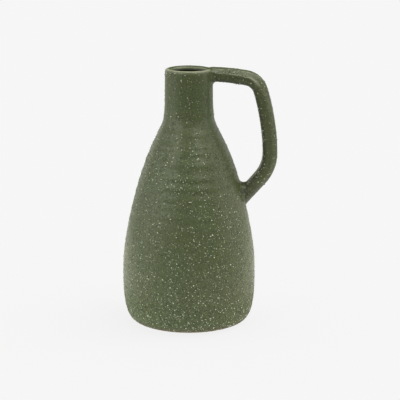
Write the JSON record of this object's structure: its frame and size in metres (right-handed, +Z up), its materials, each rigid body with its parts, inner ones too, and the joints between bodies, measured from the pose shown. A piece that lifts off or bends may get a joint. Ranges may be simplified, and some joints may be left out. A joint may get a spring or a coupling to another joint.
{
  "type": "ceramic vase",
  "caption": "Stoneware vase with a full belly, a narrow neck with a rolled lip and a bent strap handle from lip to shoulder, in matt olive glaze with pale grit.",
  "frame": {"origin": "centre of the flat base, on the vessel's axis, at the surface that the vase stands on", "axes": "+Z up along the vessel's axis through the mouth; +X towards the handle; the vase is symmetric about the XZ plane"},
  "size_m": [0.1507, 0.1294, 0.2514],
  "materials": {
    "body_glaze": "satin olive stoneware glaze with pale raised grit, bare clay on the flat underside",
    "handle_glaze": "satin olive stoneware glaze with sparse pale grit, breaking paler along the handle's ridges"
  },
  "bodies": {
    "root": {"belly": "body_glaze", "neck": "body_glaze", "neck_lute": "body_glaze", "handle": "handle_glaze", "upper_handle_lute": "handle_glaze", "lower_handle_lute": "handle_glaze"}
  },
  "joints": []
}
